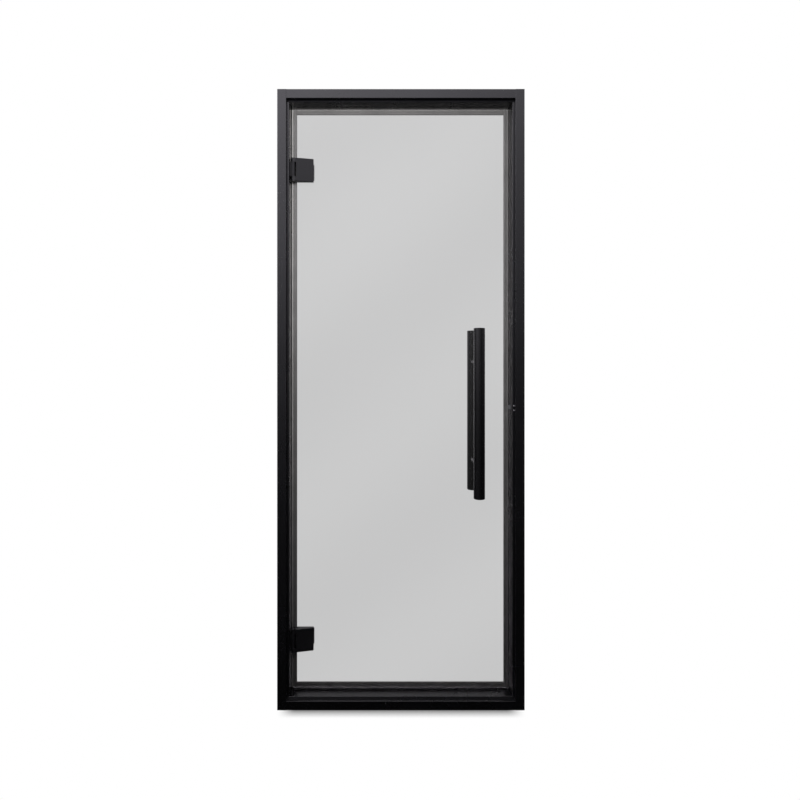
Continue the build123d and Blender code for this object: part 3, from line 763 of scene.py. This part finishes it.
def coil_shape(low, high, wire):
    """A round-wire compression spring along X that fills a box, with its end turns closed up."""
    steps = TURN_STEPS * COIL_TURNS
    coil_radius = (high.z - low.z) / 2 - wire
    start = low.x + wire
    length = high.x - low.x - 2 * wire
    shape = bmesh.new()
    rings = []
    for step in range(steps + 1):
        share = step / steps
        eased = share - END_CLOSING * math.sin(2 * math.pi * share)
        turn = 2 * math.pi * COIL_TURNS * share
        out = Vector((0.0, math.cos(turn), math.sin(turn)))
        middle = Vector((start + length * eased, (low.y + high.y) / 2, (low.z + high.z) / 2))
        ring = []
        for side in range(WIRE_FACETS):
            angle = 2 * math.pi * side / WIRE_FACETS
            along = Vector((wire * math.sin(angle), 0.0, 0.0))
            offset = out * (coil_radius + wire * math.cos(angle)) + along
            ring.append(shape.verts.new(middle + offset))
        rings.append(ring)
    for near, far in zip(rings, rings[1:]):
        for side in range(WIRE_FACETS):
            follow = (side + 1) % WIRE_FACETS
            shape.faces.new((near[side], near[follow], far[follow], far[side]))
    shape.faces.new(list(reversed(rings[0])))
    shape.faces.new(rings[-1])
    bmesh.ops.recalc_face_normals(shape, faces=shape.faces)
    return shape


class DOOR_OT_add_catch_spring(bpy.types.Operator):
    """Compression spring of the catch, built at rest; the real one closes up as the plunger moves in"""

    bl_idname = "door.add_catch_spring"
    bl_label = "Add Catch Spring"

    def execute(self, context):
        _, details, _ = settings()
        low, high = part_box("catch_spring")
        spring = mesh_object("catch_coil", coil_shape(low, high, details.spring_wire))
        shade_by_angle(spring, degrees=60)
        spring.data.materials.append(bpy.data.materials["bright_steel"])
        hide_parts("catch_spring")
        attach(spring, "frame")
        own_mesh(spring)
        return {"FINISHED"}


def seen_directly(tree, place):
    """Two masks: what the camera sees, also through clear glass, and what a glossy surface mirrors."""
    column, row = place
    path = add_node(tree, "ShaderNodeLightPath", (column, row))
    bounces = add_node(tree, "ShaderNodeMath", (column + 1, row), operation="ADD")
    clear = add_node(tree, "ShaderNodeMath", (column + 2, row), operation="LESS_THAN")
    clear.inputs[1].default_value = 0.5
    through = add_node(tree, "ShaderNodeMath", (column + 3, row), operation="MULTIPLY")
    seen = add_node(tree, "ShaderNodeMath", (column + 4, row), operation="MAXIMUM")
    glossy = add_node(tree, "ShaderNodeMath", (column + 2, row + 1), operation="GREATER_THAN")
    glossy.inputs[1].default_value = 0.5
    tree.links.new(path.outputs["Diffuse Depth"], bounces.inputs[0])
    tree.links.new(path.outputs["Glossy Depth"], bounces.inputs[1])
    tree.links.new(bounces.outputs["Value"], clear.inputs[0])
    tree.links.new(path.outputs["Is Transmission Ray"], through.inputs[0])
    tree.links.new(clear.outputs["Value"], through.inputs[1])
    tree.links.new(path.outputs["Is Camera Ray"], seen.inputs[0])
    tree.links.new(through.outputs["Value"], seen.inputs[1])
    tree.links.new(path.outputs["Glossy Depth"], glossy.inputs[0])
    return seen.outputs["Value"], glossy.outputs["Value"]


def tone_ramp(tree, place, tones, cast):
    """A colour ramp over height from greys by elevation in degrees, with a colour cast."""
    ramp = add_node(tree, "ShaderNodeValToRGB", place)
    for element, (elevation, grey) in zip(ramp_stops(ramp, len(tones)), tones):
        element.position = 0.5 + 0.5 * math.sin(math.radians(elevation))
        element.color = (grey * cast[0], grey * cast[1], grey * cast[2], 1.0)
    return ramp


def ramp_stops(ramp_node, count):
    """The stops of a colour ramp, as many as are asked for."""
    stops = ramp_node.color_ramp.elements
    while len(stops) < count:
        stops.new(1.0)
    return list(stops)


def studio_world(level):
    """White for what the camera sees; metal mirrors white behind and a room that darkens downward."""
    world = bpy.data.worlds.new("studio")
    bpy.context.scene.world = world
    world.use_nodes = True
    world.cycles.sampling_method = "NONE"
    tree = world.node_tree
    tree.nodes.clear()
    output = add_node(tree, "ShaderNodeOutputWorld", (8, 0))
    place = add_node(tree, "ShaderNodeTexCoord", (0, 0))
    split = add_node(tree, "ShaderNodeSeparateXYZ", (1, 0))
    height = tone_ramp(tree, (3, 0), ROOM_TONES, (0.99, 0.96, 1.05))
    backdrop = tone_ramp(tree, (3, 2), BEHIND_TONES, (1.0, 0.98, 1.02))
    scaled = fill(add_node(tree, "ShaderNodeMapRange", (2, 0)), From_Min=-1.0, From_Max=1.0)
    across = fill(add_node(tree, "ShaderNodeMapRange", (2, 1)), From_Min=-1.0, From_Max=1.0)
    sideways = add_node(tree, "ShaderNodeValToRGB", (3, 1))
    sideways.color_ramp.interpolation = "EASE"
    for element, (side, share) in zip(ramp_stops(sideways, len(ROOM_SIDES)), ROOM_SIDES):
        element.position = 0.5 + 0.5 * side
        element.color = (share, share, share, 1.0)
    leaning = add_node(tree, "ShaderNodeVectorMath", (4, 0), operation="MULTIPLY")
    behind = fill(add_node(tree, "ShaderNodeMapRange", (2, 2)), From_Min=0.35, From_Max=0.85)
    room = mix_colours(tree, (5, 0), (1.0, 1.0, 1.0, 1.0), (1.0, 1.0, 1.0, 1.0))
    mirrored = fill(add_node(tree, "ShaderNodeBackground", (6, 0)), Strength=1.0)
    soft = fill(add_node(tree, "ShaderNodeBackground", (6, 1)), Color=(1, 1, 1, 1), Strength=level)
    white = fill(add_node(tree, "ShaderNodeBackground", (6, 2)), Color=(1, 1, 1, 1), Strength=1.0)
    seen, glossy = seen_directly(tree, (3, 4))
    lit = add_node(tree, "ShaderNodeMixShader", (7, 1))
    choose = add_node(tree, "ShaderNodeMixShader", (7, 0))
    links = (
        (place.outputs["Generated"], split.inputs["Vector"]),
        (split.outputs["Z"], scaled.inputs["Value"]),
        (split.outputs["X"], across.inputs["Value"]),
        (across.outputs["Result"], sideways.inputs["Fac"]),
        (split.outputs["Y"], behind.inputs["Value"]),
        (scaled.outputs["Result"], height.inputs["Fac"]),
        (height.outputs["Color"], leaning.inputs[0]),
        (sideways.outputs["Color"], leaning.inputs[1]),
        (leaning.outputs["Vector"], colour_inputs(room)[0]),
        (scaled.outputs["Result"], backdrop.inputs["Fac"]),
        (backdrop.outputs["Color"], colour_inputs(room)[1]),
        (behind.outputs["Result"], room.inputs["Factor"]),
        (colour_output(room), mirrored.inputs["Color"]),
        (glossy, lit.inputs["Fac"]),
        (soft.outputs["Background"], lit.inputs[1]),
        (mirrored.outputs["Background"], lit.inputs[2]),
        (seen, choose.inputs["Fac"]),
        (lit.outputs["Shader"], choose.inputs[1]),
        (white.outputs["Background"], choose.inputs[2]),
        (choose.outputs["Shader"], output.inputs["Surface"]),
    )
    for source, target in links:
        tree.links.new(source, target)


def floor_finish(reach):
    """Pale floor: white where the camera sees it, with a painted contact shadow close to what stands on it.
    """
    material = bpy.data.materials.new("pale_floor")
    material.use_nodes = True
    tree = material.node_tree
    tree.nodes.clear()
    output = add_node(tree, "ShaderNodeOutputMaterial", (5, 0))
    # Painted contact shadow: occlusion dims the floor's white glow near the frame, faded out past its sides
    near = fill(add_node(tree, "ShaderNodeAmbientOcclusion", (0, 0), samples=16), Distance=reach)
    painted_contact_shadow = add_node(tree, "ShaderNodeMath", (1, 0), operation="POWER")
    painted_contact_shadow.inputs[1].default_value = SHADOW_POWER
    place = add_node(tree, "ShaderNodeTexCoord", (0, 1))
    split = add_node(tree, "ShaderNodeSeparateXYZ", (1, 1))
    side = add_node(tree, "ShaderNodeMath", (2, 1), operation="ABSOLUTE")
    inward = fill(
        add_node(tree, "ShaderNodeMapRange", (2, 2), interpolation_type="SMOOTHSTEP"),
        From_Min=FRAME_WIDTH / 2 + SHADOW_FADE[0] * reach,
        From_Max=FRAME_WIDTH / 2 - SHADOW_FADE[1] * reach,
    )
    faded = add_node(tree, "ShaderNodeMix", (2, 0))
    faded.inputs["A"].default_value = 1.0
    tree.links.new(place.outputs["Object"], split.inputs["Vector"])
    tree.links.new(split.outputs["X"], side.inputs[0])
    tree.links.new(side.outputs["Value"], inward.inputs["Value"])
    tree.links.new(inward.outputs["Result"], faded.inputs["Factor"])
    tree.links.new(painted_contact_shadow.outputs["Value"], faded.inputs["B"])
    white = add_node(tree, "ShaderNodeEmission", (3, 0))
    pale = fill(add_node(tree, "ShaderNodeBsdfDiffuse", (3, 1)), Color=FLOOR_GREY)
    seen, _ = seen_directly(tree, (0, 3))
    choose = add_node(tree, "ShaderNodeMixShader", (4, 0))
    tree.links.new(near.outputs["AO"], painted_contact_shadow.inputs[0])
    tree.links.new(faded.outputs["Result"], white.inputs["Strength"])
    tree.links.new(seen, choose.inputs["Fac"])
    tree.links.new(pale.outputs["BSDF"], choose.inputs[1])
    tree.links.new(white.outputs["Emission"], choose.inputs[2])
    tree.links.new(choose.outputs["Shader"], output.inputs["Surface"])
    return material


def add_floor(reach):
    """A wide level sheet under the frame, kept out of reflections."""
    shape = bmesh.new()
    bmesh.ops.create_grid(shape, x_segments=1, y_segments=1, size=FLOOR_REACH * FRAME_HEIGHT)
    floor = mesh_object("floor", shape)
    floor.location.z = -FLOOR_DROP
    floor.visible_glossy = False
    floor.visible_transmission = False
    floor.data.materials.append(floor_finish(reach))


def add_lamp(name, place, aim, size, power):
    """A square soft lamp that lights the door and stays out of sight."""
    light = bpy.data.lights.new(name, "AREA")
    light.shape = "SQUARE"
    light.size = size
    light.energy = power
    light.spread = LAMP_SPREAD
    lamp = bpy.data.objects.new(name, light)
    lamp.location = place
    lamp.rotation_mode = "QUATERNION"
    lamp.rotation_quaternion = (Vector(aim) - Vector(place)).to_track_quat("-Z", "Y")
    lamp.visible_camera = False
    lamp.visible_transmission = False
    lamp.visible_glossy = False
    bpy.context.scene.collection.objects.link(lamp)


def add_camera(studio):
    """A level camera, square to the door, with the picture's own centre."""
    metres_per_pixel = FRAME_WIDTH / studio.frame_pixels
    data = bpy.data.cameras.new("camera")
    data.lens = data.sensor_width * studio.view_distance / (PHOTO_PIXELS * metres_per_pixel)
    data.shift_x = 0.5 - studio.centre_column / PHOTO_PIXELS
    data.shift_y = studio.horizon_row / PHOTO_PIXELS - 0.5
    camera = bpy.data.objects.new("camera", data)
    camera.location = (
        (studio.centre_column - studio.frame_column) * metres_per_pixel,
        FRAME_FRONT - studio.view_distance,
        (studio.foot_row - studio.horizon_row) * metres_per_pixel,
    )
    camera.rotation_euler = (math.radians(90), 0.0, 0.0)
    bpy.context.scene.collection.objects.link(camera)
    bpy.context.scene.camera = camera


class DOOR_OT_build_stage(bpy.types.Operator):
    """Floor, light and camera"""

    bl_idname = "door.build_stage"
    bl_label = "Build Stage"

    def execute(self, context):
        _, _, studio = settings()
        context.scene.view_settings.view_transform = "Standard"
        studio_world(studio.sky_level)
        add_floor(studio.shadow_reach)
        add_lamp("key_lamp", KEY_PLACE, KEY_AIM, KEY_SIDE, studio.key_power)
        add_camera(studio)
        return {"FINISHED"}


OPERATORS = (
    DOOR_OT_coat_frame,
    DOOR_OT_finish_hinges,
    DOOR_OT_finish_handle,
    DOOR_OT_glaze,
    DOOR_OT_finish_seals,
    DOOR_OT_finish_fittings,
    DOOR_OT_add_catch_screws,
    DOOR_OT_add_catch_spring,
    DOOR_OT_build_stage,
)


class DOOR_PT_sidebar(bpy.types.Panel):
    """Lists the steps that dress the door"""

    bl_label = "Glass Door"
    bl_idname = "DOOR_PT_sidebar"
    bl_space_type = "VIEW_3D"
    bl_region_type = "UI"
    bl_category = "Glass Door"

    def draw(self, context):
        for operator in OPERATORS:
            self.layout.operator(operator.bl_idname)


PROPERTY_GROUPS = {
    "door_finishes": DoorFinishes,
    "door_details": DoorDetails,
    "door_studio": DoorStudio,
}


def register():
    """Adds the settings, the steps and the sidebar."""
    for name, group in PROPERTY_GROUPS.items():
        bpy.utils.register_class(group)
        setattr(bpy.types.Scene, name, PointerProperty(type=group))
    for operator in OPERATORS:
        bpy.utils.register_class(operator)
    bpy.utils.register_class(DOOR_PT_sidebar)


def unregister():
    """Takes the sidebar, the steps and the settings away again."""
    bpy.utils.unregister_class(DOOR_PT_sidebar)
    for operator in reversed(OPERATORS):
        bpy.utils.unregister_class(operator)
    for name, group in PROPERTY_GROUPS.items():
        delattr(bpy.types.Scene, name)
        bpy.utils.unregister_class(group)


def main():
    """Dresses the door step by step."""
    register()
    bpy.ops.door.coat_frame()
    bpy.ops.door.finish_hinges()
    bpy.ops.door.finish_handle()
    bpy.ops.door.glaze()
    bpy.ops.door.finish_seals()
    bpy.ops.door.finish_fittings()
    bpy.ops.door.add_catch_screws()
    bpy.ops.door.add_catch_spring()
    bpy.ops.door.build_stage()


if __name__ == "__main__":
    main()
